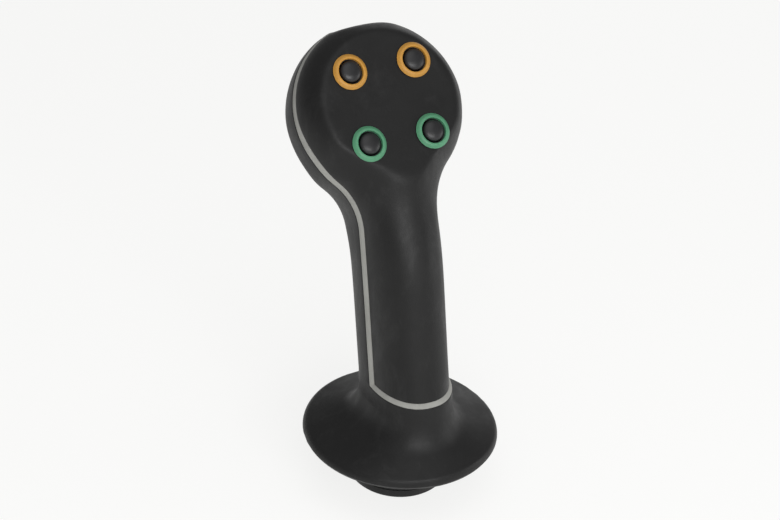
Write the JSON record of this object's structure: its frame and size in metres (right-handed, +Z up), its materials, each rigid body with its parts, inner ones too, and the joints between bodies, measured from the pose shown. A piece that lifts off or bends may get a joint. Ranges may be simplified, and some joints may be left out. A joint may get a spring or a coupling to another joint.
{
  "type": "joystick handgrip",
  "caption": "Moulded control-lever handgrip with a sloping round button panel, sprung push buttons, a sealed two-part shell, a disc hand rest and a lever socket under it.",
  "frame": {"origin": "centre of the boss's lower face, on the axis of the lever socket", "axes": "+Z up along the lever axis, -Y towards the operator's side with the buttons, +X to the right seen from that side"},
  "size_m": [0.08, 0.1066, 0.1823],
  "materials": {
    "shell_black": "moulded thermoplastic, fine satin texture",
    "boss_black": "moulded glass-filled thermoplastic, satin",
    "seal_grey": "moulded elastomer, matt",
    "zinc_steel": "turned, zinc plated",
    "screw_steel": "cold headed, zinc plated",
    "brass": "turned or stamped, bright",
    "bezel_yellow": "moulded, satin gloss",
    "bezel_green": "moulded, satin gloss",
    "washer_rubber": "cut sheet, matt",
    "barrel_plastic": "moulded",
    "button_black": "moulded, smooth",
    "spring_steel": "coiled wire",
    "phenolic": "moulded"
  },
  "bodies": {
    "grip": {"grip_body": "shell_black", "front_cover": "shell_black", "seal": "seal_grey", "mount_boss": "boss_black", "lever_insert": "zinc_steel", "cover_inserts": "brass", "cover_screws": "screw_steel", "bezel_yellow_left": "bezel_yellow", "bezel_washer_yellow_left": "washer_rubber", "barrel_yellow_left": "barrel_plastic", "nut_yellow_left": "zinc_steel", "switch_base_yellow_left": "phenolic", "terminals_yellow_left": "brass", "bezel_yellow_right": "bezel_yellow", "bezel_washer_yellow_right": "washer_rubber", "barrel_yellow_right": "barrel_plastic", "nut_yellow_right": "zinc_steel", "switch_base_yellow_right": "phenolic", "terminals_yellow_right": "brass", "bezel_green_left": "bezel_green", "bezel_washer_green_left": "washer_rubber", "barrel_green_left": "barrel_plastic", "nut_green_left": "zinc_steel", "switch_base_green_left": "phenolic", "terminals_green_left": "brass", "bezel_green_right": "bezel_green", "bezel_washer_green_right": "washer_rubber", "barrel_green_right": "barrel_plastic", "nut_green_right": "zinc_steel", "switch_base_green_right": "phenolic", "terminals_green_right": "brass"},
    "push_yellow_left": {"button_yellow_left": "button_black", "bridge_yellow_left": "brass", "spring_yellow_left": "spring_steel"},
    "push_yellow_right": {"button_yellow_right": "button_black", "bridge_yellow_right": "brass", "spring_yellow_right": "spring_steel"},
    "push_green_left": {"button_green_left": "button_black", "bridge_green_left": "brass", "spring_green_left": "spring_steel"},
    "push_green_right": {"button_green_right": "button_black", "bridge_green_right": "brass", "spring_green_right": "spring_steel"}
  },
  "joints": [
    {"name": "press_yellow_left", "type": "slide", "parent": "grip", "child": "push_yellow_left", "axis": [0, 0.7431, -0.6691], "range_m": [0, 0.0016], "stiffness_N_per_m": 1500, "deforming": ["spring_yellow_left"]},
    {"name": "press_yellow_right", "type": "slide", "parent": "grip", "child": "push_yellow_right", "axis": [0, 0.7431, -0.6691], "range_m": [0, 0.0016], "stiffness_N_per_m": 1500, "deforming": ["spring_yellow_right"]},
    {"name": "press_green_left", "type": "slide", "parent": "grip", "child": "push_green_left", "axis": [0, 0.7431, -0.6691], "range_m": [0, 0.0016], "stiffness_N_per_m": 1500, "deforming": ["spring_green_left"]},
    {"name": "press_green_right", "type": "slide", "parent": "grip", "child": "push_green_right", "axis": [0, 0.7431, -0.6691], "range_m": [0, 0.0016], "stiffness_N_per_m": 1500, "deforming": ["spring_green_right"]}
  ]
}
